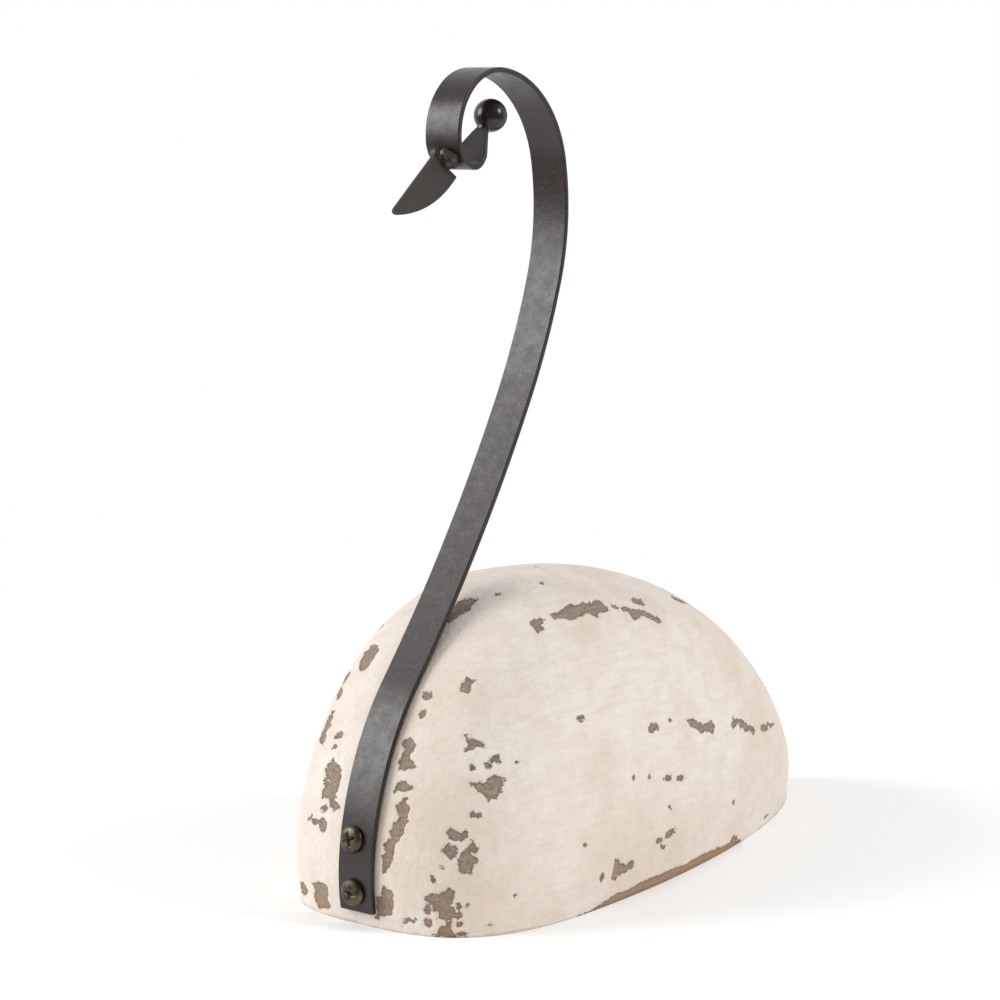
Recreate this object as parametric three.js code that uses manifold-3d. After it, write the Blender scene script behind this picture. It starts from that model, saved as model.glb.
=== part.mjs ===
// A swan figurine: a carved half-egg of painted wood stands on its flat underside, and a flat steel
// strap, screwed to its breast, rises and bends over into the neck and head. A steel ball ends the
// curl of the head as the eye, and a cut steel plate is welded on in front of it as the beak.
//
// Millimetres, +Z up. The swan faces -Y and its left side is +X. The origin lies on the underside,
// in the middle of its length.

import * as THREE from 'three';
import * as BufferGeometryUtils from 'three/addons/utils/BufferGeometryUtils.js';
import Module from 'manifold-3d';

const wasm = await Module();
wasm.setup();

// Gap kept between pieces that touch
const GAP = 0.3;

// The carved body. Every level section is two half ovals that share the widest line, one towards the
// breast and one towards the tail. Each reach shrinks with height by (1 - k^shoulder)^crown, where k is
// the share of the full height.
const BODY = {
  height: 121.4,
  widestY: -56.1,
  breast: { reach: 85.6, shoulder: 2.34, crown: 0.625, roundness: 2.78 },
  tail: { reach: 201.7, shoulder: 1.59, crown: 0.48, roundness: 1.85 },
  side: { reach: 59.4, shoulder: 2.63, crown: 0.431 },
  footTuck: 0.034,
  footTuckHeight: 13.6,
  squareFoot: 0.26,
  squareFootHeight: 25,
  levels: 26,
  levelCrowding: 0.8,
  facets: 64,
};

// The neck and head: a flat bar, bent on its flat. Its foot hugs the breast just above the underside.
const STRAP = {
  width: 16,
  thickness: 2,
  footZ: 6,
  leavesBodyZ: 87,
  // Each bend is [length along the bar, turn in degrees]. They lead up, over the top, down the face and
  // round under the chin, and the last two are the straight tongue that leans back to the eye.
  bends: [
    [122.2, 11.1],
    [47.5, 10.8],
    [47, 28.7],
    [55.1, 75],
    [41.5, 97.6],
    [13.3, 68.9],
    [6.6, 69.7],
    [10.4, 0],
    [5, -5.5],
  ],
  footFacets: 16,
  degreesPerFacet: 5,
  fewestFacets: 4,
  tongueLength: 12.6,
  tongueEndWidth: 4.8,
};

// A half-inch ball on the end of the tongue
const EYE_RADIUS = 6.35;

// The beak, cut from flat plate that stands upright in the middle plane. Its corners are [y, z].
const BEAK = {
  thickness: 1.8,
  lowerHeel: [-83, 273.3],
  upperHeel: [-95.8, 281.6],
  tipTop: [-118.1, 262.8],
  nose: [-119.9, 261.4],
  tipUnder: [-117.4, 260.2],
  belly: [-96.6, 259.9],
};

// Beads of weld metal between the plate and the face of the curl: [x, y, z, radius]
const WELD_BEADS = [
  [-1.5, -91.6, 281.6, 2.7],
  [1.8, -90.7, 281.9, 2.4],
  [4, -89.6, 280.8, 2.3],
  [1.8, -89.6, 279.3, 2.5],
  [3.6, -87.7, 278.4, 2.1],
  [1, -87.4, 278, 1.9],
  [-2.2, -87, 278.1, 2.2],
  [-3, -90.7, 280.7, 2.2],
];

// Cross-recessed pan-head screws, a little off the middle of the strap as fitted by hand
const SCREW = {
  headRadius: 5.1,
  headHeight: 2.5,
  rimHeight: 0.5,
  shankRadius: 2.1,
  shankLength: 22,
  pointLength: 5,
  pointRadius: 1.2,
  recessReach: 2.7,
  recessWidth: 1.1,
  recessDepth: 1.6,
  facets: 24,
};
const SCREWS = [
  { name: 'screw_upper', x: -1.7, z: 32.2, turn: 22 },
  { name: 'screw_lower', x: -0.5, z: 13.3, turn: -12 },
];

// Side-view drawings are made in (y, z) and stood up along x
const SIDE_VIEW = new THREE.Matrix4().makeBasis(
  new THREE.Vector3(0, 1, 0), new THREE.Vector3(0, 0, 1), new THREE.Vector3(1, 0, 0));

function toSolid(geometry) {
  const bare = geometry.clone();
  bare.deleteAttribute('normal');
  bare.deleteAttribute('uv');
  const merged = BufferGeometryUtils.mergeVertices(bare, 1e-4);
  return new wasm.Manifold(new wasm.Mesh({
    numProp: 3,
    vertProperties: new Float32Array(merged.attributes.position.array),
    triVerts: new Uint32Array(merged.index.array),
  }));
}

function toGeometry(solid) {
  const mesh = solid.getMesh();
  const geometry = new THREE.BufferGeometry();
  geometry.setAttribute('position', new THREE.BufferAttribute(mesh.vertProperties, 3));
  geometry.setIndex(new THREE.BufferAttribute(mesh.triVerts, 1));
  geometry.computeVertexNormals();
  return geometry;
}

function sideExtrusion(shape, width) {
  const geometry = new THREE.ExtrudeGeometry(shape, { depth: width, bevelEnabled: false });
  return geometry.translate(0, 0, -width / 2).applyMatrix4(SIDE_VIEW);
}

// Share of a full reach that is left at height z
function taper(part, z) {
  const above = Math.max(z, 0);
  const k = Math.min(above / BODY.height, 1);
  const tuck = 1 - BODY.footTuck * Math.exp(-Math.pow(above / BODY.footTuckHeight, 1.5));
  return Math.pow(1 - Math.pow(k, part.shoulder), part.crown) * tuck;
}

function breastY(z) {
  return BODY.widestY - BODY.breast.reach * taper(BODY.breast, z);
}

// The body starts as a unit drum with a point on top, and every ring is then drawn out to its ovals
function bodyGeometry() {
  const profile = [new THREE.Vector2(0, 0)];
  for (let i = 0; i < BODY.levels; i++) {
    const z = BODY.height * Math.sin((Math.PI / 2) * Math.pow(i / BODY.levels, BODY.levelCrowding));
    profile.push(new THREE.Vector2(1, z));
  }
  profile.push(new THREE.Vector2(0, BODY.height));
  const geometry = new THREE.LatheGeometry(profile, BODY.facets).rotateX(Math.PI / 2);
  const position = geometry.attributes.position;
  const oval = (value, exponent) => Math.sign(value) * Math.pow(Math.abs(value), 2 / exponent);
  for (let i = 0; i < position.count; i++) {
    const z = position.getZ(i);
    const onAxis = Math.hypot(position.getX(i), position.getY(i)) < 0.5;
    const angle = Math.atan2(position.getX(i), -position.getY(i));
    const towardsBreast = Math.cos(angle) > 0;
    const end = towardsBreast ? BODY.breast : BODY.tail;
    const squarer = towardsBreast ? BODY.squareFoot * Math.exp(-z / BODY.squareFootHeight) : 0;
    const roundness = end.roundness + squarer;
    const x = oval(Math.sin(angle), roundness) * BODY.side.reach * taper(BODY.side, z);
    const y = BODY.widestY - oval(Math.cos(angle), roundness) * end.reach * taper(end, z);
    position.setXYZ(i, onAxis ? 0 : x, onAxis ? BODY.widestY : y, z);
  }
  return geometry;
}

// Middle line of the strap in side view: it hugs the breast, leaves it in line and follows its bends
function strapLine() {
  const stand = GAP + STRAP.thickness / 2;
  const points = [];
  let heading = 0;
  for (let i = 0; i <= STRAP.footFacets; i++) {
    const z = THREE.MathUtils.lerp(STRAP.footZ, STRAP.leavesBodyZ, i / STRAP.footFacets);
    heading = breastHeading(z);
    points.push(new THREE.Vector2(breastY(z) - Math.sin(heading) * stand, z + Math.cos(heading) * stand));
  }
  for (const [length, turn] of STRAP.bends) {
    const facets = Math.max(STRAP.fewestFacets, Math.ceil(Math.abs(turn) / STRAP.degreesPerFacet));
    const bend = THREE.MathUtils.degToRad(turn) / facets;
    for (let i = 0; i < facets; i++) {
      const last = points[points.length - 1];
      const along = heading + bend / 2;
      const forward = new THREE.Vector2(Math.cos(along), Math.sin(along)).multiplyScalar(length / facets);
      points.push(last.clone().add(forward));
      heading += bend;
    }
  }
  return { points, heading };
}

// Closed side-view outline of a bar of the given thickness that follows a line
function barShape(line, thickness) {
  const left = [];
  const right = [];
  line.forEach((point, i) => {
    const before = line[Math.max(i - 1, 0)];
    const after = line[Math.min(i + 1, line.length - 1)];
    const along = after.clone().sub(before).normalize();
    const across = new THREE.Vector2(-along.y, along.x).multiplyScalar(thickness / 2);
    left.push(point.clone().add(across));
    right.push(point.clone().sub(across));
  });
  return new THREE.Shape([...right, ...left.reverse()]);
}

// Two wedges that narrow the end of the bar to the tongue which carries the ball
function tongueCutters(line, heading) {
  const end = line[line.length - 1];
  const reach = 3;
  const half = STRAP.width / 2;
  const slope = (half - STRAP.tongueEndWidth / 2) / STRAP.tongueLength;
  const wedge = new THREE.Shape([
    new THREE.Vector2(-STRAP.tongueLength, half),
    new THREE.Vector2(reach, half - slope * (STRAP.tongueLength + reach)),
    new THREE.Vector2(reach, half + reach),
    new THREE.Vector2(-STRAP.tongueLength, half + reach),
  ]);
  const depth = 8;
  const geometry = new THREE.ExtrudeGeometry(wedge, { depth, bevelEnabled: false });
  geometry.translate(0, 0, -depth / 2);
  const along = new THREE.Vector3(0, Math.cos(heading), Math.sin(heading));
  const across = new THREE.Vector3(1, 0, 0);
  const through = along.clone().cross(across);
  const place = new THREE.Matrix4().makeBasis(along, across, through).setPosition(0, end.x, end.y);
  const left = toSolid(geometry.applyMatrix4(place));
  const mirror = new THREE.Matrix4().makeScale(-1, 1, 1);
  return left.add(left.transform(mirror.elements));
}

// Direction of the breast in side view at height z, as an angle from +Y towards +Z
function breastHeading(z) {
  const step = 0.01;
  return Math.atan2(2 * step, breastY(z + step) - breastY(z - step));
}

// Place of a screw: its local +Y points out of the strap, from the strap's outer face
function screwSeat(screw) {
  const heading = breastHeading(screw.z);
  const out = new THREE.Vector3(0, -Math.sin(heading), Math.cos(heading));
  const side = new THREE.Vector3(1, 0, 0);
  const seat = new THREE.Matrix4().makeBasis(side, out, side.clone().cross(out));
  const foot = out.clone().multiplyScalar(GAP + STRAP.thickness);
  return seat.setPosition(screw.x, breastY(screw.z) + foot.y, screw.z + foot.z);
}

function screwHole(screw) {
  const over = 1;
  const length = SCREW.shankLength + GAP + over;
  const radius = SCREW.shankRadius + GAP;
  const rod = new THREE.CylinderGeometry(radius, radius, length, SCREW.facets);
  return toSolid(rod.translate(0, over - length / 2, 0).applyMatrix4(screwSeat(screw)));
}

function screwSolid(screw) {
  const domeSteps = 5;
  const domeFullness = 0.7;
  const profile = [
    new THREE.Vector2(0, -SCREW.shankLength),
    new THREE.Vector2(SCREW.pointRadius, SCREW.pointLength - SCREW.shankLength),
    new THREE.Vector2(SCREW.shankRadius, SCREW.pointLength + SCREW.shankRadius - SCREW.shankLength),
    new THREE.Vector2(SCREW.shankRadius, 0),
    new THREE.Vector2(SCREW.headRadius, 0),
    new THREE.Vector2(SCREW.headRadius, SCREW.rimHeight),
  ];
  for (let i = 1; i <= domeSteps; i++) {
    const angle = (Math.PI / 2) * (i / domeSteps);
    const radius = i === domeSteps ? 0 : SCREW.headRadius * Math.pow(Math.cos(angle), domeFullness);
    const dome = (SCREW.headHeight - SCREW.rimHeight) * Math.sin(angle);
    profile.push(new THREE.Vector2(radius, SCREW.rimHeight + dome));
  }
  let solid = toSolid(new THREE.LatheGeometry(profile, SCREW.facets));
  const long = 2 * SCREW.recessReach;
  const narrow = SCREW.recessWidth;
  for (const [width, depth] of [[long, narrow], [narrow, long]]) {
    const slot = new THREE.BoxGeometry(width, 2 * SCREW.recessDepth, depth);
    solid = solid.subtract(toSolid(slot.translate(0, SCREW.headHeight, 0)));
  }
  const turn = new THREE.Matrix4().makeRotationY(THREE.MathUtils.degToRad(screw.turn));
  turn.setPosition(0, GAP, 0);
  return solid.transform(screwSeat(screw).multiply(turn).elements);
}

// Plate outline: sloping heel, straight upper edge, blunt rounded tip and a belly that swells below
function beakShape() {
  const shape = new THREE.Shape();
  shape.moveTo(...BEAK.lowerHeel);
  shape.lineTo(...BEAK.upperHeel);
  shape.lineTo(...BEAK.tipTop);
  shape.quadraticCurveTo(...BEAK.nose, ...BEAK.tipUnder);
  shape.quadraticCurveTo(...BEAK.belly, ...BEAK.lowerHeel);
  return shape;
}

function beakSolid(clearance) {
  let solid = toSolid(sideExtrusion(beakShape(), BEAK.thickness));
  for (const [x, y, z, radius] of WELD_BEADS) {
    solid = solid.add(toSolid(new THREE.SphereGeometry(radius, 12, 8).translate(x, y, z)));
  }
  return solid.subtract(clearance);
}

const paintedWood = new THREE.MeshStandardMaterial({ color: 0xe9dfd2, roughness: 0.82, metalness: 0 });
const blackSteel = new THREE.MeshStandardMaterial({ color: 0x3b3433, roughness: 0.42, metalness: 0.2 });
const agedBrass = new THREE.MeshStandardMaterial({ color: 0x7a6a55, roughness: 0.45, metalness: 0.85 });

const swan = new THREE.Group();

function place(name, geometry, material) {
  const mesh = new THREE.Mesh(geometry, material);
  mesh.name = name;
  swan.add(mesh);
  return mesh;
}

const { points: neckLine, heading: neckEnd } = strapLine();
let body = toSolid(bodyGeometry());
let strap = toSolid(sideExtrusion(barShape(neckLine, STRAP.thickness), STRAP.width));
strap = strap.subtract(tongueCutters(neckLine, neckEnd));

for (const screw of SCREWS) {
  const hole = screwHole(screw);
  body = body.subtract(hole);
  strap = strap.subtract(hole);
  place(screw.name, toGeometry(screwSolid(screw)), agedBrass);
}

const aroundStrap = barShape(neckLine, STRAP.thickness + 2 * GAP);
const clearance = toSolid(sideExtrusion(aroundStrap, STRAP.width + 2 * GAP));

place('body', toGeometry(body), paintedWood);
place('neck_strap', toGeometry(strap), blackSteel);
place('beak', toGeometry(beakSolid(clearance)), blackSteel);

const eyeReach = EYE_RADIUS + 1.5 * GAP;
const onward = new THREE.Vector2(Math.cos(neckEnd), Math.sin(neckEnd)).multiplyScalar(eyeReach);
const eye = neckLine[neckLine.length - 1].clone().add(onward);
place('eye_ball', new THREE.SphereGeometry(EYE_RADIUS, 32, 20), blackSteel).position.set(0, eye.x, eye.y);

export default swan;
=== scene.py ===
# %% [markdown]
# Wooden swan figurine, a lesson in cells.
# The real object is a half-egg of carved wood, painted off-white and rubbed back, with a flat steel bar
# screwed to its breast. The bar rises as the neck and curls over into the head. A plate is welded on as
# the beak and a steel ball as the eye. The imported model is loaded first, because every piece here stands
# where a solid of that model stands. Sizes are millimetres until a mesh is finished.

# %% Load the frame
import math
import random

import bmesh
import bpy
import numpy as np
from mathutils import Matrix, Vector, noise


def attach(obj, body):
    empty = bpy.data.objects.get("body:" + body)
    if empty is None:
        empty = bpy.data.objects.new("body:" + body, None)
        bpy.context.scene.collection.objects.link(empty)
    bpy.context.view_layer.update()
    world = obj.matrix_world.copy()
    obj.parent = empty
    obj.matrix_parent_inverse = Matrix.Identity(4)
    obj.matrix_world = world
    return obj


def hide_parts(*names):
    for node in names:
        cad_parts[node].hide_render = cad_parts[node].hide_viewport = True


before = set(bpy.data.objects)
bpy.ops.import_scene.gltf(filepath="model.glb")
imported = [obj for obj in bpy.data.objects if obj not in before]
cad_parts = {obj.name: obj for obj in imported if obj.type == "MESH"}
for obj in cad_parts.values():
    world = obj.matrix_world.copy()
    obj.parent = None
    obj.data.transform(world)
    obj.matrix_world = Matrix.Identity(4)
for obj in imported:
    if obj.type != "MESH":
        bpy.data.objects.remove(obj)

scene = bpy.context.scene
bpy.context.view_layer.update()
print("solids:", ", ".join(sorted(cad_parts)))

# %% [markdown]
# A piece is drawn in millimetres and shrunk to metres when it is done, with its object left at the origin.
# One helper does that for all of them: it turns the mesh into an object, shades it smooth, lets it ride
# on the swan's one body, gives it its finish and hides the solid that it stands for.

# %% Helpers for pieces
MM = 0.001


def new_object(name, bm):
    bmesh.ops.scale(bm, vec=(MM, MM, MM), verts=bm.verts)
    mesh = bpy.data.meshes.new(name)
    bm.to_mesh(mesh)
    bm.free()
    mesh.shade_smooth()
    piece = bpy.data.objects.new(name, mesh)
    scene.collection.objects.link(piece)
    return piece


def apply_modifiers(piece):
    graph = bpy.context.evaluated_depsgraph_get()
    done = bpy.data.meshes.new_from_object(piece.evaluated_get(graph))
    piece.modifiers.clear()
    piece.data = done


def fit(piece, material, slot, *nodes):
    piece.data.materials.clear()
    piece.data.materials.append(material)
    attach(piece, "root")
    if nodes:
        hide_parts(*nodes)
    print(piece.name, len(piece.data.polygons), "faces")


def noise_at(point, size, seed=0.0):
    """Smooth noise from -1 to 1 whose bumps are about size apart."""
    return noise.noise(Vector(point) / size + Vector((seed, seed, seed)))


# %% [markdown]
# Materials are graphs of nodes. One small function adds a node, sets its properties and fills or links its
# inputs, and another turns an sRGB hex colour, as a paint chart gives it, into the linear colour that
# Blender works in. Patterns read Object coordinates in metres, so a scale is 1000 divided by millimetres.

# %% Helpers for materials
def linear(hex_colour):
    value = hex_colour.lstrip("#")
    channels = [int(value[i:i + 2], 16) / 255 for i in (0, 2, 4)]
    return [c / 12.92 if c <= 0.04045 else ((c + 0.055) / 1.055) ** 2.4 for c in channels] + [1.0]


def add(tree, kind, inputs=None, **settings):
    node = tree.nodes.new(kind)
    for key, value in settings.items():
        setattr(node, key, value)
    for key, value in (inputs or {}).items():
        if isinstance(value, bpy.types.NodeSocket):
            tree.links.new(value, node.inputs[key])
        else:
            node.inputs[key].default_value = value
    return node


def start_material(name):
    material = bpy.data.materials.new(name)
    material.use_nodes = True
    tree = material.node_tree
    surface = tree.nodes["Principled BSDF"]
    place = add(tree, "ShaderNodeTexCoord").outputs["Object"]
    return material, tree, surface, place


def per_mm(size):
    return 1.0 / (size * MM)


def grain(tree, place, size, detail=3.0, roughness=0.55, stretch=(1, 1, 1), shift=(0, 0, 0)):
    """Noise with blobs of about size mm, longer along an axis where stretch is above 1."""
    mapped = add(tree, "ShaderNodeMapping", {
        "Vector": place, "Location": shift, "Scale": [1 / s for s in stretch]})
    return add(tree, "ShaderNodeTexNoise", {
        "Vector": mapped.outputs["Vector"], "Scale": per_mm(size), "Detail": detail,
        "Roughness": roughness}).outputs["Fac"]


def ramp(tree, value, low, high, to_low=0.0, to_high=1.0):
    return add(tree, "ShaderNodeMapRange", {
        "Value": value, "From Min": low, "From Max": high, "To Min": to_low, "To Max": to_high,
    }).outputs["Result"]


def blend(tree, factor, first, second, mode="MIX"):
    node = add(tree, "ShaderNodeMix", data_type="RGBA", blend_type=mode)
    for index, value in ((0, factor), (6, first), (7, second)):
        if isinstance(value, bpy.types.NodeSocket):
            tree.links.new(value, node.inputs[index])
        else:
            node.inputs[index].default_value = value
    return node.outputs[2]


def combine(tree, operation, *values):
    node = add(tree, "ShaderNodeMath", operation=operation)
    for socket, value in zip(node.inputs, values):
        if isinstance(value, bpy.types.NodeSocket):
            tree.links.new(value, socket)
        else:
            socket.default_value = value
    return node.outputs[0]


def bump(tree, height, depth_mm, normal=None):
    inputs = {"Height": height, "Strength": 1.0, "Distance": depth_mm * MM}
    if normal is not None:
        inputs["Normal"] = normal
    return add(tree, "ShaderNodeBump", inputs).outputs["Normal"]


# %% [markdown]
# The body's finish is matt paint, brushed on carved pine and chipped. Such paint is almost without
# gloss, is stained a little by handling, and shows the brush and the grain under it. Where it has flaked
# off, grey-brown weathered wood shows a paint's thickness lower, with a sharp ragged edge. The chips are
# in the mesh: an attribute holds the distance to the nearest chip's edge, and the material only adds the
# raggedness that is finer than the mesh.

# %% Distressed matt paint on pine
def matt_paint_on_pine():
    material, tree, surface, place = start_material("matt_paint_on_pine")
    edge = add(tree, "ShaderNodeAttribute", attribute_name="chip").outputs["Fac"]
    ragged = grain(tree, place, 1.5, detail=6.0, roughness=0.75)
    ragged = ramp(tree, ragged, 0.25, 0.75, -1.1, 1.1)
    chipped = ramp(tree, combine(tree, "ADD", edge, ragged), -0.1, 0.12)

    stains = grain(tree, place, 48, detail=4.0, roughness=0.6)
    paint = blend(tree, ramp(tree, stains, 0.42, 0.7), linear("#E0D6CD"), linear("#D5C5B5"))
    dust = grain(tree, place, 9, detail=5.0, roughness=0.65)
    paint = blend(tree, ramp(tree, dust, 0.45, 0.8, 0.0, 0.45), paint, linear("#C7B6A5"))
    streaks = grain(tree, place, 1.6, detail=3.0, stretch=(1, 14, 1))
    paint = blend(tree, ramp(tree, streaks, 0.35, 0.75, 0.0, 0.3), paint, linear("#C2B19F"))
    specks = grain(tree, place, 0.9, detail=2.0, shift=(0.3, 0.1, 0.2))
    paint = blend(tree, ramp(tree, specks, 0.69, 0.8, 0.0, 0.35), paint, linear("#9A8774"))

    fibres = grain(tree, place, 0.9, detail=4.0, stretch=(1, 12, 1))
    wood = blend(tree, ramp(tree, fibres, 0.3, 0.7), linear("#7C6B5D"), linear("#A18F7E"))
    blotches = grain(tree, place, 3.5, detail=3.0)
    wood = blend(tree, ramp(tree, blotches, 0.45, 0.75, 0.0, 0.5), wood, linear("#6F6156"))
    # along the foot the wood is rubbed bare and stays warm brown
    height = add(tree, "ShaderNodeSeparateXYZ", {"Vector": place}).outputs["Z"]
    wood = blend(tree, ramp(tree, height, 5 * MM, 9 * MM, 0.75, 0.0), wood, linear("#9C7E63"))
    # painted shade: a dark line on the wood just inside the paint's broken edge stands for the shade that the
    # edge casts there
    rim = ramp(tree, combine(tree, "ADD", edge, ragged), 0.1, 0.9, 0.6, 0.0)
    wood = blend(tree, rim, wood, linear("#54473D"))

    colour = blend(tree, chipped, paint, wood)
    tree.links.new(colour, surface.inputs["Base Color"])
    rough = ramp(tree, chipped, 0, 1, 0.72, 0.9)
    tree.links.new(rough, surface.inputs["Roughness"])

    brushed = bump(tree, streaks, 0.12)
    uneven = bump(tree, grain(tree, place, 3, detail=5.0, roughness=0.6), 0.45, brushed)
    gritty = bump(tree, specks, 0.16, uneven)
    fibrous = bump(tree, combine(tree, "MULTIPLY", fibres, chipped), 0.25, gritty)
    broken = bump(tree, combine(tree, "SUBTRACT", 1.0, chipped), 0.35, fibrous)
    tree.links.new(broken, surface.inputs["Normal"])
    return material


painted_pine = matt_paint_on_pine()
print("material", painted_pine.name)

# %% [markdown]
# The neck, beak and eye are mild steel, rubbed with black wax over a blackened surface. The wax gives a
# low, even sheen with a brown cast, and the rolled bar under it is faintly pitted. It is modelled as a
# dark dielectric coat rather than bare metal, because what the light meets is the wax.

# %% Waxed black steel
def waxed_black_steel(name, base, worn, sheen):
    material, tree, surface, place = start_material(name)
    clouds = grain(tree, place, 14, detail=3.0)
    colour = blend(tree, ramp(tree, clouds, 0.35, 0.75), linear(base), linear(worn))
    pits = grain(tree, place, 1.1, detail=3.0, roughness=0.6)
    colour = blend(tree, ramp(tree, pits, 0.68, 0.8, 0.0, 0.6), colour, linear("#8A7F79"))
    tree.links.new(colour, surface.inputs["Base Color"])
    handled = ramp(tree, grain(tree, place, 5, detail=4.0), 0.3, 0.7, sheen - 0.05, sheen + 0.07)
    tree.links.new(handled, surface.inputs["Roughness"])
    rolled = bump(tree, grain(tree, place, 2.4, detail=2.0), 0.05)
    pitted = bump(tree, ramp(tree, pits, 0.62, 0.8), 0.06, rolled)
    tree.links.new(pitted, surface.inputs["Normal"])
    return material


black_steel = waxed_black_steel("waxed_black_steel", "#251A19", "#2B201E", 0.35)
ball_steel = waxed_black_steel("waxed_black_ball", "#1B1413", "#201817", 0.25)
weld_steel = waxed_black_steel("waxed_black_weld", "#33292A", "#3E322E", 0.34)
beak_steel = waxed_black_steel("waxed_black_plate", "#2C2321", "#352B27", 0.5)
print("materials", black_steel.name, ball_steel.name, weld_steel.name, beak_steel.name)

# %% [markdown]
# The screws are brass, darkened to an antique finish and rubbed bright again where fingers and tools touch.
# It is a metal, so it keeps the default IOR, and its tarnish is a darker, rougher colour mixed in by noise.

# %% Antique brass
def antique_brass():
    material, tree, surface, place = start_material("antique_brass")
    surface.inputs["Metallic"].default_value = 1.0
    tarnish = ramp(tree, grain(tree, place, 3, detail=4.0, roughness=0.5), 0.3, 0.75)
    colour = blend(tree, tarnish, linear("#6A5F50"), linear("#39322B"))
    tree.links.new(colour, surface.inputs["Base Color"])
    tree.links.new(ramp(tree, tarnish, 0, 1, 0.34, 0.55), surface.inputs["Roughness"])
    tree.links.new(bump(tree, tarnish, 0.04), surface.inputs["Normal"])
    return material


aged_brass = antique_brass()
print("material", aged_brass.name)

# %% [markdown]
# The camera stands where the photographer's stood: 38 degrees round from the breast towards the swan's
# left side, looking down by 7.5 degrees through a long lens. The shift only puts the swan in the middle.

# %% Camera
CAMERA_PLACE = (0.6373, -0.8717, 0.2970)
CAMERA_AZIMUTH = 38.0
CAMERA_PITCH = 7.489

lens = bpy.data.cameras.new("camera")
lens.lens = 97.59
lens.sensor_width = 36.0
lens.shift_y = -0.03095
camera = bpy.data.objects.new("camera", lens)
camera.location = CAMERA_PLACE
camera.rotation_euler = [math.radians(angle) for angle in (90 - CAMERA_PITCH, 0, CAMERA_AZIMUTH)]
scene.collection.objects.link(camera)
scene.camera = camera
print("camera", tuple(round(v, 3) for v in camera.location))

# %% [markdown]
# The shape of the body is a rule, not a list of points: every level section is two half ovals, and each
# reach shrinks with height. The strap's foot follows the same rule, so it is written once and used twice.

# %% The body's rule
HEIGHT = 121.4
WIDEST_Y = -56.1
BREAST = {"reach": 85.6, "shoulder": 2.34, "crown": 0.625, "roundness": 2.78}
TAIL = {"reach": 201.7, "shoulder": 1.59, "crown": 0.48, "roundness": 1.85}
SIDE = {"reach": 59.4, "shoulder": 2.63, "crown": 0.431}
FOOT_TUCK, FOOT_TUCK_HEIGHT = 0.034, 13.6
SQUARE_FOOT, SQUARE_FOOT_HEIGHT = 0.26, 25.0


def reach_at(part, z):
    above = max(z, 0.0)
    share = min(above / HEIGHT, 1.0)
    tuck = 1 - FOOT_TUCK * math.exp(-((above / FOOT_TUCK_HEIGHT) ** 1.5))
    return part["reach"] * (1 - share ** part["shoulder"]) ** part["crown"] * tuck


def oval(value, roundness):
    return math.copysign(abs(value) ** (2 / roundness), value)


def on_body(angle, z):
    """The point at height z, angle counted from the breast towards the swan's left."""
    end = BREAST if math.cos(angle) > 0 else TAIL
    squarer = SQUARE_FOOT * math.exp(-z / SQUARE_FOOT_HEIGHT) if end is BREAST else 0.0
    roundness = end["roundness"] + squarer
    x = oval(math.sin(angle), roundness) * reach_at(SIDE, z)
    y = WIDEST_Y - oval(math.cos(angle), roundness) * reach_at(end, z)
    return x, y, z


def breast_y(z):
    return on_body(0.0, z)[1]


print("body", round(2 * reach_at(SIDE, 25)), "mm wide")

# %% [markdown]
# The paint's chips as they lie on the near side. Each has its place on the body and an outline in
# millimetres, across and up the surface. Small flecks are only a place, a length, a height and a tilt.
# The far side and the tail, which are just as worn, get the same kinds of chip at places drawn at random
# from a fixed seed.

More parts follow.
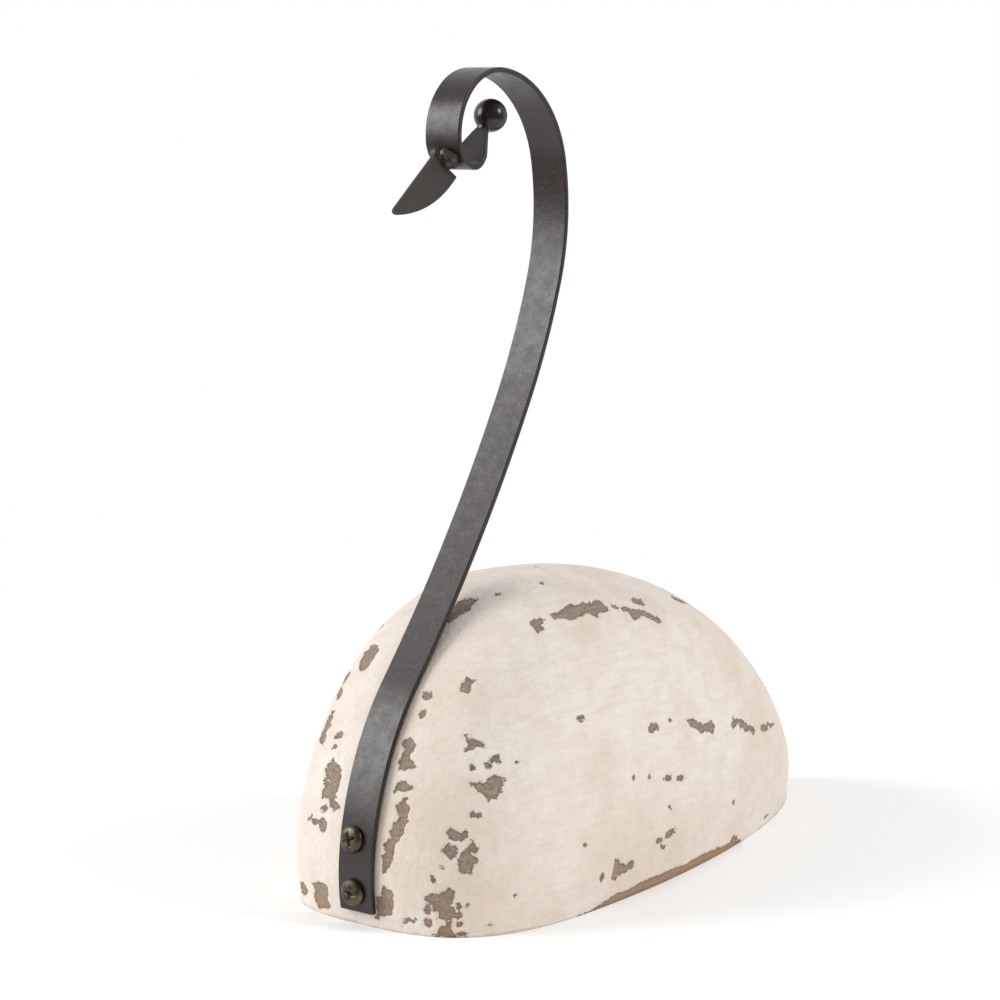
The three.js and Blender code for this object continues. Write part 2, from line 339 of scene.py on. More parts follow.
# %% Chips and flecks
CHIPS = [
    ((36, -132, 10), [(0, 9), (2.5, 7.5), (.5, 2.5), (2.5, -.5), (4, .5), (5, -1.5), (3.5, -3), (2, -2.5),
                      (0, -3.5), (1, -7.5), (2, -8.5), (4.5, -8), (9.5, -9), (1, -10), (-8.5, -9.5),
                      (-4.5, -9), (-3.5, -6.5), (-1, -5.5), (-2, -3.5), (-4.5, -3), (-4, -1), (-5.5, -.5),
                      (-6, 2), (-9, 4), (-9.5, 5.5), (-1, 7.5)]),
    ((15, -138, 36), [(2, 14.5), (3.5, 14), (2.5, 12.5), (5, 10.5), (4.5, 7), (5, 5.5), (3.5, 3), (4, 1.5),
                      (2, .5), (2.5, -1), (0, -4), (1, -5), (0, -6.5), (.5, -10), (-2, -12.5), (-2, -14),
                      (-4, -14.5), (-5, -8.5), (-3.5, -6), (-4.5, -4), (-1.5, -.5), (-2.5, .5), (-1.5, 3.5),
                      (1, 6.5), (-1.5, 11), (1.5, 12.5)]),
    ((33, -47, 108), [(16, 3), (18.5, -1.5), (15, -3), (10.5, -2.5), (7, -4.5), (2.5, -1.5), (-10, -2.5),
                      (-14, 0), (-18, 0), (-18.5, 2.5), (-10, 3), (-7.5, 4), (-2.5, 4.5), (0, 3), (5, 4),
                      (6, 3)]),
    ((-19, -134, 49), [(-3.5, 9.5), (3.5, 6.5), (4, -1), (3, -3), (4.5, -3.5), (3.5, -5), (4.5, -6), (7, -7),
                       (4, -9.5), (2.5, -8), (-1, -5), (-4, -5.5), (-5.5, -4), (-4, -1.5), (-5.5, .5),
                       (-4.5, 1.5), (-1.5, .5), (-5.5, 2.5), (-7, 5)]),
    ((43, -118, 54), [(3, 5), (7.5, 3), (6, 3), (6.5, 2), (5.5, 0), (4.5, -.5), (5.5, -1.5), (4, -2.5),
                      (3.5, -4), (2.5, -3.5), (0, -5), (-.5, -4.5), (.5, -3.5), (-1.5, -2.5), (-2, -1.5),
                      (-3.5, -1), (-5, 1.5), (-6.5, .5), (-7.5, 3), (-6.5, 3.5), (-5, 2), (-3.5, 3),
                      (-2.5, 3), (-1, 1.5), (0, 2.5), (-.5, 3.5), (1, 3.5), (1.5, 4.5)]),
    ((13, -124, 73), [(-1, -3.5), (0, -3.5), (2.5, -5.5), (2, -8), (.5, -10), (5, -13.5), (4, -15),
                      (2, -15), (1, -16), (-2.5, -15.5), (-3, -12.5), (-2, -8), (-3.5, -7), (-4, -5)]),
    ((11, -140, 10), [(.5, 7), (5, 5), (4.5, -1), (3.5, -4.5), (-1.5, -5), (-3, -7), (-5, -6.5), (-3.5, -4),
                      (-3.5, 2), (-1, 3)]),
    ((41, -127, 30), [(1, 6.5), (4, 2.5), (3, 1.5), (.5, 2), (3.5, -1.5), (1, -4), (1.5, -5), (.5, -6.5),
                      (-3.5, -5.5), (-4, -3), (-3.5, -1.5), (-4, -.5), (-1.5, 3), (.5, 3.5), (.5, 5.5)]),
    ((-21, -138, 7), [(-.5, 5.5), (4, 5), (5, 2.5), (4, -1), (5, -3.5), (3.5, -4.5), (.5, -5), (-2, -5.5),
                      (-5, -1.5), (-3.5, 1), (-5, 3.5)]),
    ((-26, -105, 92), [(-3.5, 6), (1, 6), (3.5, 5), (6, -2.5), (4.5, -5.5), (1, -6), (-3, -3), (-6, 1)]),
    ((58, -54, 13), [(-6, 4.5), (-4, 4), (-2, 2), (1, .5), (5, 1.5), (7, 1), (7.5, -1.5), (2.5, -2.5),
                     (-3.5, -3), (-4.5, -4.5), (-7.5, -3)]),
    ((51, 10, 55), [(-5.5, 4.5), (-2, 2), (2.5, .5), (10.5, .5), (12, -1.5), (10.5, -4.5), (9, -5),
                    (6.5, -3.5), (-2, -2.5), (-5.5, .5), (-9, 1.5), (-12, 5)]),
    ((34, -8, 101), [(-6, 6), (-5, 4), (2, 2.5), (12, -3.5), (12, -6), (9, -6), (6.5, -4.5), (0, 0),
                     (-4.5, -1), (-9, -.5), (-8.5, 4), (-12, 4.5), (-12, 6)]),
    ((37, -129, 38), [(-2.5, 2.5), (1.5, 1), (3.5, 2), (4, -.5), (3, -2), (.5, -2.5), (-2.5, -1.5), (-4, 1)]),
    ((44, 51, 47), [(-9, 6), (-6.5, 4), (1.5, 2.5), (5.5, -1), (12.5, -3), (12.5, -6), (10, -6), (6.5, -3.5),
                    (1.5, -3), (-.5, -1), (-4, 0), (-4, 2), (-12, 1), (-12.5, 3)]),
    ((33, -74, 107), [(1.5, 3.5), (2, 2.5), (4, 2), (1, -1), (1.5, -2.5), (-2.5, -3.5), (-4, 2)]),
    ((26, -109, 89), [(-.5, 3.5), (3, 2), (1.5, 0), (2, -2.5), (.5, -3.5), (-2, -3), (-3, -1)]),
    ((15, -133, 53), [(-1.5, 2.5), (4.5, 1), (3.5, -1), (.5, -1.5), (-1, -1), (-3.5, -2.5), (-4.5, -2)]),
    ((36, -117, 70), [(-3.5, 3), (3, 0), (4, -1.5), (1.5, -2), (.5, -2), (-1.5, -3), (-2.5, -2.5),
                      (-2.5, -.5), (-4, 2.5)]),
    ((36, -131, 32), [(-.5, 3), (3, 1.5), (1.5, -1.5), (1.5, -2.5), (0, -3), (-3, -.5), (-2.5, .5), (-.5, .5),
                      (-1.5, 2.5)]),
    ((42, -114, 63), [(1.5, 2.5), (2.5, 2), (3.5, -.5), (2.5, -1), (.5, -.5), (-1, -2.5), (-2.5, -2.5),
                      (-3.5, -1.5), (-3, 0), (-1, -.5), (-1, 1.5), (0, 2), (.5, 2)]),
    ((-33, -121, 66), [(-2.5, 6), (-.5, 6), (1.5, 5), (1, 3), (3, 2), (1.5, -1.5), (4, -2.5), (3, -5.5),
                       (-.5, -6), (-3, -5), (-4, 4.5)]),
    ((-23, -137, 34), [(1.5, 3), (5, 1.5), (5, -1), (3, -3), (.5, -1.5), (.5, 0), (-3.5, -.5), (-5, .5),
                       (-3, 1.5), (0, 1.5)]),
    ((54, -28, 62), [(.5, 2), (3.5, 1), (4, -.5), (3.5, -1.5), (1, -1), (-1, -2), (-3, -2), (-4, -.5),
                     (-3.5, 1)]),
    ((41, -123, 45), [(-1.5, 1.5), (.5, .5), (1.5, 1), (2.5, 0), (2, -1.5), (-2.5, -.5)]),
    ((35, 84, 40), [(-1.5, 1.5), (4, -.5), (10, -1), (14, -2.5), (3, -2), (-2, .5), (-3, -1.5), (-10.5, -.5),
                    (-14, 1), (-12, 2.5), (-4, 1)]),
    ((58, -28, 16), [(-.5, 3), (2, 1.5), (-.5, .5), (3.5, -1.5), (2.5, -3), (.5, -2), (-1, .5), (-3.5, 1.5),
                     (-3.5, 2.5)]),
    ((29, -4, 105), [(-.5, 2.5), (5, .5), (4.5, -2), (2, -2.5), (-5, .5), (-3.5, 2)]),
    ((3, -86, 111), [(-1, 7), (5, 7.5), (4.5, 3), (6, 0), (3, -3), (1, -8), (-3, -7), (-4, 2)]),
]
FLECKS = [
    (13, -116, 84, 4.4, 3.7, 4), (-34, -133, 6, 9.5, 5.1, 10), (29, -136, 10, 4.4, 2.8, -71),
    (29, -136, 5, 3.5, 3.5, -83), (57, -21, 19, 7.0, 3.2, 8), (14, -120, 78, 3.2, 3.4, -2),
    (17, 43, 98, 16.2, 4.2, -27), (-22, -126, 66, 5.5, 2.9, 16), (-21, -136, 40, 4.5, 2.9, 0),
    (56, -12, 39, 6.8, 2.4, -7), (31, -135, 22, 3.5, 1.9, -53), (-34, -112, 78, 7.4, 4.4, -13),
    (56, -22, 41, 5.4, 2.3, -5), (39, -130, 5, 3.4, 1.8, 18), (52, -73, 73, 4.4, 2.5, -7),
    (37, -120, 61, 2.3, 2.2, -83), (21, -138, 5, 3.9, 1.7, 22), (58, -68, 12, 3.0, 2.7, -54),
    (-35, -107, 83, 6.0, 5.2, -36), (39, -130, 12, 2.4, 1.8, 81), (34, -133, 26, 2.2, 1.1, -37),
    (32, -24, 106, 4.5, 2.0, -19), (49, 37, 3, 6.3, 2.1, -4), (-23, -128, 62, 3.6, 1.8, 8),
    (34, -132, 33, 2.3, 1.5, 25), (57, -21, 29, 3.6, 1.3, -24), (46, -121, 4, 2.1, 1.5, -7),
    (57, -46, 46, 2.1, 1.6, 36), (24, -137, 6, 2.3, 1.0, 61), (51, 34, 19, 3.1, 2.2, -12),
    (-29, -134, 35, 3.8, 1.5, 39), (57, -35, 44, 2.3, 1.7, 21), (40, 75, 3, 6.9, 1.7, -4),
    (52, -113, 14, 1.3, 1.3, -33), (41, -128, 12, 1.5, 1.2, 61), (-33, -117, 72, 3.9, 1.7, -1),
    (52, -15, 62, 2.5, 1.7, 5), (19, -138, 2, 1.5, 1.0, 55), (18, -53, 118, 2.6, 1.3, 32),
    (34, -120, 67, 1.4, 1.1, 20), (13, -74, 116, 2.2, 2.0, 0), (58, -79, 27, 1.6, 1.2, 10),
    (47, -106, 62, 1.6, 1.4, 0), (3, -36, 121, 3.0, 1.4, 30),
]


def seen_from_camera(x, y):
    """True on the near side, whose chips are listed one by one."""
    return x > -12 or y < -95


def far_side(seed=11, wanted=30):
    """Places for more chips on the far side and the tail, with outlines borrowed from the near side."""
    draw = random.Random(seed)
    chips = []
    while len(chips) < wanted:
        x, y, z = on_body(draw.uniform(math.pi, 1.97 * math.pi), draw.uniform(3, 112))
        outline = draw.choice(CHIPS)[1]
        flip = draw.choice((-1, 1))
        size = draw.uniform(0.6, 1.15)
        if not seen_from_camera(x, y):
            chips.append(((x, y, z), [(flip * size * a, size * b) for a, b in outline]))
    return chips


print(len(CHIPS), "chips and", len(FLECKS), "flecks on the near side")

# %% [markdown]
# The body could be sculpted by hand, but its even, turned-looking form is exactly a rule. So a drum is
# spun from an outline of its underside, wall and top, and each ring is then drawn out to its ovals. The
# faces near a chip are subdivided, so the step of the paint's broken edge is real. Last, the whole surface
# gets the shallow unevenness of a shape that was rasped and sanded by hand.

# %% Body mesh
LEVELS = 120
MERIDIANS = 400
PAINT_THICKNESS = 0.45
CHIP_REACH = 4.0
STRAP_HALF = 8.0


def even_angles():
    """Angles that put the meridians at equal steps along the foot."""
    table = np.linspace(0, 2 * math.pi, 4001)
    foot = np.array([on_body(angle, 20.0)[:2] for angle in table])
    run = np.concatenate([[0], np.cumsum(np.hypot(*np.diff(foot, axis=0).T))])
    return np.interp(np.linspace(0, run[-1], MERIDIANS + 1), run, table)


def spun_drum():
    bm = bmesh.new()
    outline = [(share, 0.0) for share in (0.0, 0.35, 0.7, 0.9, 0.97)]
    outline += [(1.0, HEIGHT * math.sin(math.pi / 2 * i / LEVELS)) for i in range(LEVELS)]
    outline += [(0.0, HEIGHT)]
    points = [bm.verts.new((share, 0, z)) for share, z in outline]
    edges = [bm.edges.new(pair) for pair in zip(points, points[1:])]
    bmesh.ops.spin(bm, geom=points + edges, cent=(0, 0, 0), axis=(0, 0, 1), dvec=(0, 0, 0),
                   angle=2 * math.pi, steps=MERIDIANS, use_merge=True)
    bmesh.ops.remove_doubles(bm, verts=bm.verts, dist=1e-5)
    bmesh.ops.recalc_face_normals(bm, faces=bm.faces)
    return bm


def draw_out(bm):
    """Takes each ring of the drum out to its ovals."""
    angles = even_angles()
    for vert in bm.verts:
        share = math.hypot(vert.co.x, vert.co.y)
        turn = math.atan2(vert.co.y, vert.co.x) % (2 * math.pi)
        angle = angles[round(turn / (2 * math.pi) * MERIDIANS) % MERIDIANS]
        x, y, z = on_body(angle, vert.co.z)
        vert.co = (share * x, WIDEST_Y + share * (y - WIDEST_Y), z)


def inside_distance(points, outline):
    """Distance in mm from each point to a closed outline, positive inside it."""
    corners = np.array(outline, float)
    nearest = np.full(len(points), 1e9)
    inside = np.zeros(len(points), bool)
    for a, b in zip(corners, np.roll(corners, -1, axis=0)):
        side = b - a
        along = np.clip((points - a) @ side / (side @ side), 0, 1)
        nearest = np.minimum(nearest, np.hypot(*(points - a - along[:, None] * side).T))
        crosses = (a[1] > points[:, 1]) != (b[1] > points[:, 1])
        if a[1] != b[1]:
            x = a[0] + (points[:, 1] - a[1]) * side[0] / side[1]
            inside ^= crosses & (points[:, 0] < x)
    return np.where(inside, nearest, -nearest)


def worn_foot(point):
    """Distance in mm inside the band along the lower edge that is rubbed bare."""
    x, y, z = point
    along = math.exp(-(((y + 18) / 62) ** 4)) if x > 0 else math.exp(-(((y + 5) / 60) ** 4))
    width = -1.5 + 5.2 * along + 1.2 * noise_at(point, 9, 3.0)
    return width - z


def chip_distances(bm):
    """For every vertex the distance in mm inside the nearest chip, minus CHIP_REACH far from any."""
    bm.verts.ensure_lookup_table()
    bm.normal_update()
    places = np.array([v.co for v in bm.verts])
    normals = np.array([v.normal for v in bm.verts])
    distance = np.full(len(places), -CHIP_REACH)
    for centre, outline in CHIPS + far_side():
        offset = places - np.array(centre)
        size = max(math.hypot(*corner) for corner in outline) + CHIP_REACH
        near = np.where((offset ** 2).sum(axis=1) < size ** 2)[0]
        out = normals[near[(offset[near] ** 2).sum(axis=1).argmin()]]
        across = np.cross((0, 0, 1), out)
        across /= np.linalg.norm(across)
        up = np.cross(out, across)
        flat = np.stack([offset[near] @ across, offset[near] @ up], axis=1)
        distance[near] = np.maximum(distance[near], inside_distance(flat, outline))
    for x, y, z, length, height, tilt in FLECKS:
        offset = places - np.array((x, y, z))
        near = np.where((offset ** 2).sum(axis=1) < (length + CHIP_REACH) ** 2)[0]
        out = normals[near[(offset[near] ** 2).sum(axis=1).argmin()]]
        across = np.cross((0, 0, 1), out)
        across /= np.linalg.norm(across)
        up = np.cross(out, across)
        turn = math.radians(tilt)
        a, b = offset[near] @ across, offset[near] @ up
        along = (a * math.cos(turn) + b * math.sin(turn)) / (length / 2)
        over = (b * math.cos(turn) - a * math.sin(turn)) / (height / 2)
        distance[near] = np.maximum(distance[near], (1 - np.hypot(along, over)) * min(length, height) / 2)
    low = np.where(places[:, 2] < 12)[0]
    distance[low] = np.maximum(distance[low], [worn_foot(places[i]) for i in low])
    ragged = np.array([0.55 * noise_at(p, 2.3) for p in places])
    return np.maximum(distance + ragged, -CHIP_REACH)


def rasped(bm, distance):
    """Lowers the chips by the paint's thickness and gives the wood its slight unevenness."""
    bm.normal_update()
    moves = []
    for vert, inside in zip(bm.verts, distance):
        point = vert.co
        if vert.normal.z < -0.7:
            moves.append(Vector())
            continue
        lift = 0.4 * noise_at(point, 55) + 0.22 * noise_at(point, 19, 5.0) + 0.06 * noise_at(point, 6, 9.0) - 0.3
        under_strap = abs(point.x) < STRAP_HALF + 2 and point.y < -90
        if under_strap:
            lift = min(lift, -0.05)
        share = min(max((inside + 0.25) / 0.5, 0.0), 1.0)
        lift -= PAINT_THICKNESS * share * share * (3 - 2 * share)
        moves.append(vert.normal * lift)
    for vert, move in zip(bm.verts, moves):
        vert.co += move


bm = spun_drum()
draw_out(bm)
distance = chip_distances(bm)
close = np.abs(distance) < 1.3
split = [edge for edge in bm.edges if close[edge.verts[0].index] or close[edge.verts[1].index]]
bmesh.ops.subdivide_edges(bm, edges=split, cuts=1, use_grid_fill=True)
print("split", len(split), "edges near chips")
distance = chip_distances(bm)
rasped(bm, distance)
layer = bm.verts.layers.float.new("chip")
for vert, inside in zip(bm.verts, distance):
    vert[layer] = inside
carved_body = new_object("carved_body", bm)
fit(carved_body, painted_pine, "painted_wood", "body")

# %% [markdown]
# The neck is one length of flat bar, bent cold. It could be a curve with a bevel, but a curve can't narrow
# on one side only of its section, as the tongue under the eye does. So the sawn end of the bar is one
# face, which is extruded station by station up the breast, round the curl and along the tongue. Rolled
# bar has slightly round long edges, so they are in the section. Two more corners beside each round keep
# the broad faces evenly lit, because smooth shading would otherwise bend the light right across them.

# %% Stations along the neck
GAP = 0.3
BAR = {"half_width": 8.0, "thickness": 2.0, "foot_z": 6.0, "leaves_body_z": 87.0, "edge_radius": 0.4}
BENDS = [(122.2, 11.1), (47.5, 10.8), (47, 28.7), (55.1, 75), (41.5, 97.6), (13.3, 68.9), (6.6, 69.7),
         (10.4, 0), (5, -5.5)]
TONGUE = {"length": 12.6, "end_half_width": 2.4}


def breast_heading(z):
    step = 0.01
    return math.atan2(2 * step, breast_y(z + step) - breast_y(z - step))


def neck_stations():
    """Every (y, z, heading) along the bar's middle line."""
    stand = GAP + BAR["thickness"] / 2
    stations = []
    for z in np.linspace(BAR["foot_z"], BAR["leaves_body_z"], 34):
        heading = breast_heading(z)
        stations.append((breast_y(z) - math.sin(heading) * stand, z + math.cos(heading) * stand, heading))
    y, z, heading = stations[-1]
    for length, turn in BENDS:
        steps = max(math.ceil(abs(turn) / 3), math.ceil(length / 3))
        half = math.radians(turn) / steps / 2
        for _ in range(steps):
            heading += half
            y += math.cos(heading) * length / steps
            z += math.sin(heading) * length / steps
            heading += half
            stations.append((y, z, heading))
    return stations


def station_frame(station, width):
    """Local X across the bar, Y along it, Z through it."""
    y, z, heading = station
    turned = Matrix.Rotation(heading, 4, "X")
    return Matrix.Translation((0, y, z)) @ turned @ Matrix.Diagonal((width, 1, 1, 1))


stations = neck_stations()
print(len(stations), "stations, the neck is", round(max(s[1] for s in stations)), "mm high")

# %% Neck
def rounded_section():
    """The bar's outline, (across, through), with round corners and a keeper point beside each round."""
    half, deep, radius = BAR["half_width"], BAR["thickness"] / 2, BAR["edge_radius"]
    keeper = 0.25
    outline = []
    for quarter, (sx, sz) in enumerate(((1, 1), (-1, 1), (-1, -1), (1, -1))):
        middle = Vector((sx * (half - radius), sz * (deep - radius)))
        turns = [math.radians(90 * quarter + 90 * i / 4) for i in range(5)]
        round_part = [middle + radius * Vector((math.cos(t), math.sin(t))) for t in turns]
        before = round_part[0] - keeper * Vector((-math.sin(turns[0]), math.cos(turns[0])))
        after = round_part[-1] + keeper * Vector((-math.sin(turns[-1]), math.cos(turns[-1])))
        outline += [before] + round_part + [after]
    return outline


def bent_bar():
    ends = np.array([s[:2] for s in stations])
    steps = np.hypot(*np.diff(ends, axis=0).T)
    left = np.concatenate([np.cumsum(steps[::-1])[::-1], [0]])
    slope = (BAR["half_width"] - TONGUE["end_half_width"]) / TONGUE["length"]
    widths = [min(BAR["half_width"], TONGUE["end_half_width"] + slope * run) / BAR["half_width"] for run in left]
    bm = bmesh.new()
    section = [bm.verts.new((x, 0, z)) for x, z in rounded_section()]
    bmesh.ops.transform(bm, matrix=station_frame(stations[0], widths[0]), verts=section)
    face = bm.faces.new(section)
    cut_ends = list(face.edges)
    for i in range(1, len(stations)):
        grown = bmesh.ops.extrude_face_region(bm, geom=[face])["geom"]
        if i > 1:
            # the operator keeps the face it started from, which would be a wall inside the bar
            bmesh.ops.delete(bm, geom=[face], context="FACES_ONLY")
        face = next(item for item in grown if isinstance(item, bmesh.types.BMFace))
        step = station_frame(stations[i], widths[i]) @ station_frame(stations[i - 1], widths[i - 1]).inverted()
        bmesh.ops.transform(bm, matrix=step, verts=face.verts)
    cut_ends += list(face.edges)
    bmesh.ops.recalc_face_normals(bm, faces=bm.faces)
    for edge in cut_ends:
        edge.smooth = False
    return bm


def ease_edges(piece, width_mm, segments=3, angle=50):
    """Rounds the sharp edges and keeps the broad faces evenly lit."""
    bevel = piece.modifiers.new("eased_edges", "BEVEL")
    bevel.width = width_mm * MM
    bevel.segments = segments
    bevel.limit_method = "ANGLE"
    bevel.angle_limit = math.radians(angle)
    piece.modifiers.new("even_light", "WEIGHTED_NORMAL")


bent_neck = new_object("bent_neck", bent_bar())
fit(bent_neck, black_steel, "black_steel", "neck_strap")

# %% [markdown]
# The eye is a bought steel ball, welded to the tip of the tongue. The weld has flowed out into a small
# concave collar. Ball and collar are one outline spun about the tongue's own direction, and the collar is
# then squeezed towards the bar's thickness.

# %% Eye
EYE_RADIUS = 6.35
COLLAR = {"half_angle": 33, "length": 2.3, "neck": 2.35, "flatness": 0.55}


def eye_ball():
    outline = []
    meets = math.radians(COLLAR["half_angle"])
    for angle in np.linspace(0, math.pi - meets, 40):
        outline.append((EYE_RADIUS * math.sin(angle), EYE_RADIUS * math.cos(angle)))
    brim, foot = outline[-1]
    for share in np.linspace(0, 1, 9)[1:]:
        hollow = (1 - share) ** 2.2
        outline.append((COLLAR["neck"] + (brim - COLLAR["neck"]) * hollow, foot - COLLAR["length"] * share))
    outline.append((0.0, outline[-1][1]))
    bm = bmesh.new()
    points = [bm.verts.new((r, 0, h)) for r, h in outline]
    edges = [bm.edges.new(pair) for pair in zip(points, points[1:])]
    bmesh.ops.spin(bm, geom=points + edges, cent=(0, 0, 0), axis=(0, 0, 1), dvec=(0, 0, 0),
                   angle=2 * math.pi, steps=64, use_merge=True)
    bmesh.ops.remove_doubles(bm, verts=bm.verts, dist=1e-4)
    bmesh.ops.recalc_face_normals(bm, faces=bm.faces)
    for vert in bm.verts:
        below = min(max((foot - vert.co.z) / COLLAR["length"], 0.0), 1.0)
        vert.co.y *= 1 - (1 - COLLAR["flatness"]) * below
    y, z, heading = stations[-1]
    reach = EYE_RADIUS + 1.5 * GAP
    centre = (0, y + math.cos(heading) * reach, z + math.sin(heading) * reach)
    upright = Matrix.Rotation(heading - math.pi / 2, 4, "X")
    bmesh.ops.transform(bm, matrix=Matrix.Translation(centre) @ upright, verts=bm.verts)
    return bm


eye = new_object("eye", eye_ball())
fit(eye, ball_steel, "black_steel", "eye_ball")

# %% [markdown]
# The beak is cut from plate and stands upright in the middle plane. A few corners and two curves give its
# outline, which is extruded by the plate's thickness. Cutting and filing leave its edges slightly round.

# %% Beak
PLATE = {"thickness": 1.8, "lower_heel": (-83, 273.3), "upper_heel": (-95.8, 281.6),
         "tip_top": (-118.1, 262.8), "nose": (-119.9, 261.4), "tip_under": (-117.4, 260.2),
         "belly": (-96.6, 259.9)}


def curve(start, pull, end, count):
    """Points of the quadratic curve from start to end, the start left out."""
    start, pull, end = Vector(start), Vector(pull), Vector(end)
    return [(1 - t) ** 2 * start + 2 * t * (1 - t) * pull + t * t * end for t in np.linspace(0, 1, count + 1)[1:]]


def beak_plate():
    tip = curve(PLATE["tip_top"], PLATE["nose"], PLATE["tip_under"], 6)
    belly = curve(PLATE["tip_under"], PLATE["belly"], PLATE["lower_heel"], 24)
    outline = [Vector(PLATE["upper_heel"]), Vector(PLATE["tip_top"])] + tip + belly
    bm = bmesh.new()
    half = PLATE["thickness"] / 2
    side = bm.faces.new([bm.verts.new((-half, y, z)) for y, z in outline])
    grown = bmesh.ops.extrude_face_region(bm, geom=[side], use_keep_orig=True)["geom"]
    corners = [item for item in grown if isinstance(item, bmesh.types.BMVert)]
    bmesh.ops.translate(bm, vec=(2 * half, 0, 0), verts=corners)
    bmesh.ops.recalc_face_normals(bm, faces=bm.faces)
    return bm


beak = new_object("beak_plate", beak_plate())
ease_edges(beak, 0.3, angle=40)
fit(beak, beak_steel, "black_steel", "beak")

# %% [markdown]
# The weld that holds the beak is a row of overlapping puddles of metal. Balls of different sizes stand for
# them. A voxel remesh melts the balls into one skin, smoothing rounds the seams between them, and noise
# roughens it like a weld that was only brushed before it was waxed.

# %% Weld
WELD_BEADS = [
    (-1.5, -91.6, 281.6, 2.7), (1.8, -90.7, 281.9, 2.4), (4, -89.6, 280.8, 2.3), (1.8, -89.6, 279.3, 2.5),
    (3.6, -87.7, 278.4, 2.1), (1, -87.4, 278, 1.9), (-2.2, -87, 278.1, 2.2), (-3, -90.7, 280.7, 2.2),
]


def melted(name, beads, voxel_mm):
    bm = bmesh.new()
    for x, y, z, radius in beads:
        bmesh.ops.create_icosphere(bm, subdivisions=3, radius=radius, matrix=Matrix.Translation((x, y, z)))
    piece = new_object(name, bm)
    remesh = piece.modifiers.new("melt", "REMESH")
    remesh.mode = "VOXEL"
    remesh.voxel_size = voxel_mm * MM
    soften = piece.modifiers.new("soften", "SMOOTH")
    soften.iterations = 4
    apply_modifiers(piece)
    for vert in piece.data.vertices:
        vert.co += vert.normal * MM * 0.24 * noise_at(vert.co / MM, 1.1)
    piece.data.shade_smooth()
    return piece


weld = melted("beak_weld", WELD_BEADS, 0.22)
fit(weld, weld_steel, "black_steel")

# %% [markdown]
# The screws are pan heads with a cross recess. A spun outline gives the head and the shank, and a tapered
# cross, cut out with a Boolean, gives the recess that the driver fits.

# %% Screws
SCREW = {"head_radius": 5.1, "head_height": 2.5, "rim": 0.55, "shank_radius": 2.1, "shank_length": 22.0,
         "point_length": 5.0, "point_radius": 1.2}
SCREWS = {"screw_upper": (-1.7, 32.2, 22), "screw_lower": (-0.5, 13.3, -12)}


def screw_blank():
    s = SCREW
    outline = [(0, -s["shank_length"]), (s["point_radius"], s["point_length"] - s["shank_length"]),
               (s["shank_radius"], s["point_length"] + s["shank_radius"] - s["shank_length"]),
               (s["shank_radius"], 0), (s["head_radius"] - 0.3, -0.15), (s["head_radius"], 0.1),
               (s["head_radius"], s["rim"])]
    for angle in np.linspace(0, math.pi / 2, 12)[1:]:
        radius = s["head_radius"] * max(math.cos(angle), 0.0) ** 0.7
        outline.append((radius, s["rim"] + (s["head_height"] - s["rim"]) * math.sin(angle)))
    outline[-1] = (0, s["head_height"])
    bm = bmesh.new()
    points = [bm.verts.new((r, 0, h)) for r, h in outline]
    edges = [bm.edges.new(pair) for pair in zip(points, points[1:])]
    bmesh.ops.spin(bm, geom=points + edges, cent=(0, 0, 0), axis=(0, 0, 1), dvec=(0, 0, 0),
                   angle=2 * math.pi, steps=48, use_merge=True)
    bmesh.ops.remove_doubles(bm, verts=bm.verts, dist=1e-4)
    bmesh.ops.recalc_face_normals(bm, faces=bm.faces)
    return bm


RECESS = {"arm": 3.3, "half_width": 0.75, "above": 0.6, "depth": 2.2, "taper": 0.5}


def cross_cutter():
    """A cross that stands above the head and narrows as it goes down."""
    arm, side = RECESS["arm"], RECESS["half_width"]
    top = SCREW["head_height"] + RECESS["above"]
    quarter = [(arm, -side), (arm, side), (side, side)]
    bm = bmesh.new()
    corners = []
    for turn in range(4):
        spin = Matrix.Rotation(math.pi / 2 * turn, 3, "Z")
        corners += [bm.verts.new(spin @ Vector((x, y, top))) for x, y in quarter]
    lid = bm.faces.new(corners)
    grown = bmesh.ops.extrude_face_region(bm, geom=[lid])["geom"]
    lower = [item for item in grown if isinstance(item, bmesh.types.BMVert)]
    bmesh.ops.translate(bm, vec=(0, 0, -RECESS["above"] - RECESS["depth"]), verts=lower)
    bmesh.ops.scale(bm, vec=(RECESS["taper"], RECESS["taper"], 1), verts=lower)
    bmesh.ops.recalc_face_normals(bm, faces=bm.faces)
    return bm


def finished_screw(name, x, z, turn):
    piece = new_object(name, screw_blank())
    cutter = new_object("cutter", cross_cutter())
    cut = piece.modifiers.new("recess", "BOOLEAN")
    cut.operation = "DIFFERENCE"
    cut.object = cutter
    cut.solver = "EXACT"
    apply_modifiers(piece)
    bpy.data.objects.remove(cutter)
    # the cut leaves slivers of no area at the recess's corners
    sliver = 0.01 * MM
    bm = bmesh.new()
    bm.from_mesh(piece.data)
    bmesh.ops.remove_doubles(bm, verts=bm.verts, dist=sliver)
    bmesh.ops.dissolve_degenerate(bm, dist=sliver, edges=bm.edges)
    bm.to_mesh(piece.data)
    bm.free()
    heading = breast_heading(z)
    out = Vector((0, -math.sin(heading), math.cos(heading)))
    seat = Vector((x, breast_y(z), z)) + out * (GAP + BAR["thickness"] + GAP)
    turned = Matrix.Rotation(heading, 4, "X") @ Matrix.Rotation(math.radians(turn), 4, "Z")
    piece.data.transform(Matrix.Translation(seat * MM) @ turned)
    piece.data.shade_smooth()
    return piece


for node, (x, z, turn) in SCREWS.items():
    screw = finished_screw("brass_" + node, x, z, turn)
    fit(screw, aged_brass, "aged_brass", node)

# %% [markdown]
# The stage is a round of white paper on a table, with white all round it, so no edge or horizon shows.
# The paper is one ring of points filled as a disc.

# %% Floor
PAPER_RADIUS = 700.0

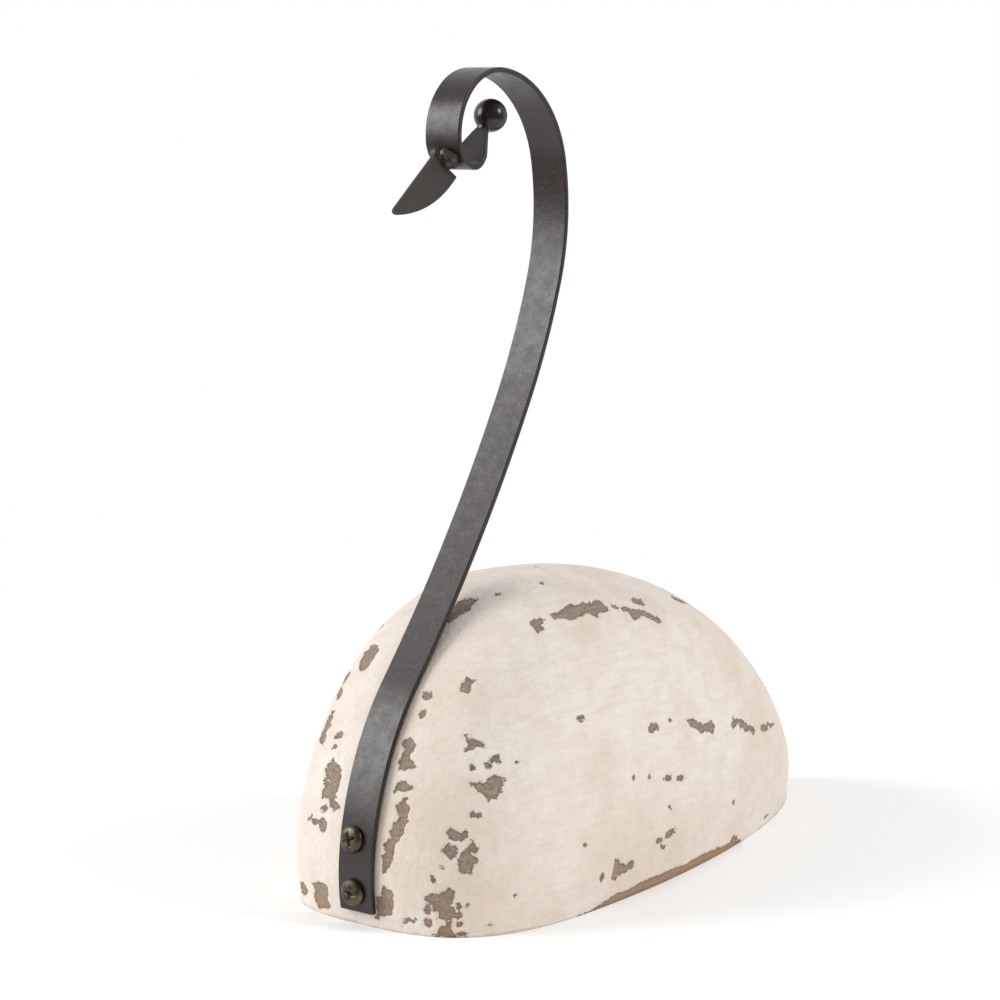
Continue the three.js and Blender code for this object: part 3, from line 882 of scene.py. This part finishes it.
bm = bmesh.new()
bmesh.ops.create_circle(bm, cap_ends=True, cap_tris=False, segments=96, radius=PAPER_RADIUS)
bmesh.ops.recalc_face_normals(bm, faces=bm.faces)
for face in bm.faces:
    if face.normal.z < 0:
        face.normal_flip()
floor = new_object("floor", bm)
paper, paper_tree, paper_surface, _ = start_material("white_paper")
paper_surface.inputs["Base Color"].default_value = linear("#FBFBFB")
paper_surface.inputs["Roughness"].default_value = 1.0
paper_surface.inputs["Specular IOR Level"].default_value = 0.0
floor.data.materials.append(paper)
print("floor laid")

# %% [markdown]
# A tall softbox stands at the left front and a small, brighter one at the right rear. Their places come
# from where the bar and the ball mirror them. The room behind the swan is white and the photographer's
# side of it is dim, which only a mirror-like surface tells apart, so the world shows that difference to
# glossy rays alone.

# %% Lights
AIM = Vector((0, -0.06, 0.25))


def softbox(name, azimuth, elevation, distance, size, radiance):
    """Azimuth counts from the breast towards the swan's left; radiance 1 is a white wall's."""
    light = bpy.data.lights.new(name, "AREA")
    light.shape = "RECTANGLE"
    light.size, light.size_y = size
    light.energy = radiance * math.pi * size[0] * size[1]
    lamp = bpy.data.objects.new(name, light)
    a, e = math.radians(azimuth), math.radians(elevation)
    way = Vector((math.cos(e) * math.sin(a), -math.cos(e) * math.cos(a), math.sin(e)))
    lamp.location = AIM + way * distance
    lamp.rotation_euler = way.to_track_quat("Z", "Y").to_euler()
    lamp.visible_camera = False
    scene.collection.objects.link(lamp)
    print(name, tuple(round(v, 2) for v in lamp.location))


softbox("softbox_left_front", -47, 22, 2.5, (1.3, 1.5), 7.5)
softbox("softbox_right_rear", 110, 27, 2.0, (0.45, 0.55), 22)

FILL = 0.7
DIM_SIDE, WHITE_SIDE = 0.2, 1.05

room = bpy.data.worlds.new("white_room")
room.use_nodes = True
sky = room.node_tree
background = sky.nodes["Background"]
background.inputs["Color"].default_value = (1, 1, 1, 1)
direction = add(sky, "ShaderNodeTexCoord").outputs["Generated"]
away_from_camera = (-0.61, 0.78, 0)
behind = add(sky, "ShaderNodeVectorMath", {0: direction, 1: away_from_camera},
             operation="DOT_PRODUCT").outputs["Value"]
mirrored = ramp(sky, behind, -0.2, 0.65, DIM_SIDE, WHITE_SIDE)
ray = add(sky, "ShaderNodeLightPath").outputs
strength = combine(sky, "ADD", combine(sky, "MULTIPLY", ray["Is Glossy Ray"], mirrored),
                   combine(sky, "MULTIPLY", ray["Is Diffuse Ray"], FILL))
strength = combine(sky, "ADD", strength, ray["Is Camera Ray"])
sky.links.new(strength, background.inputs["Strength"])
scene.world = room
scene.view_settings.view_transform = "Standard"
print("room lit")
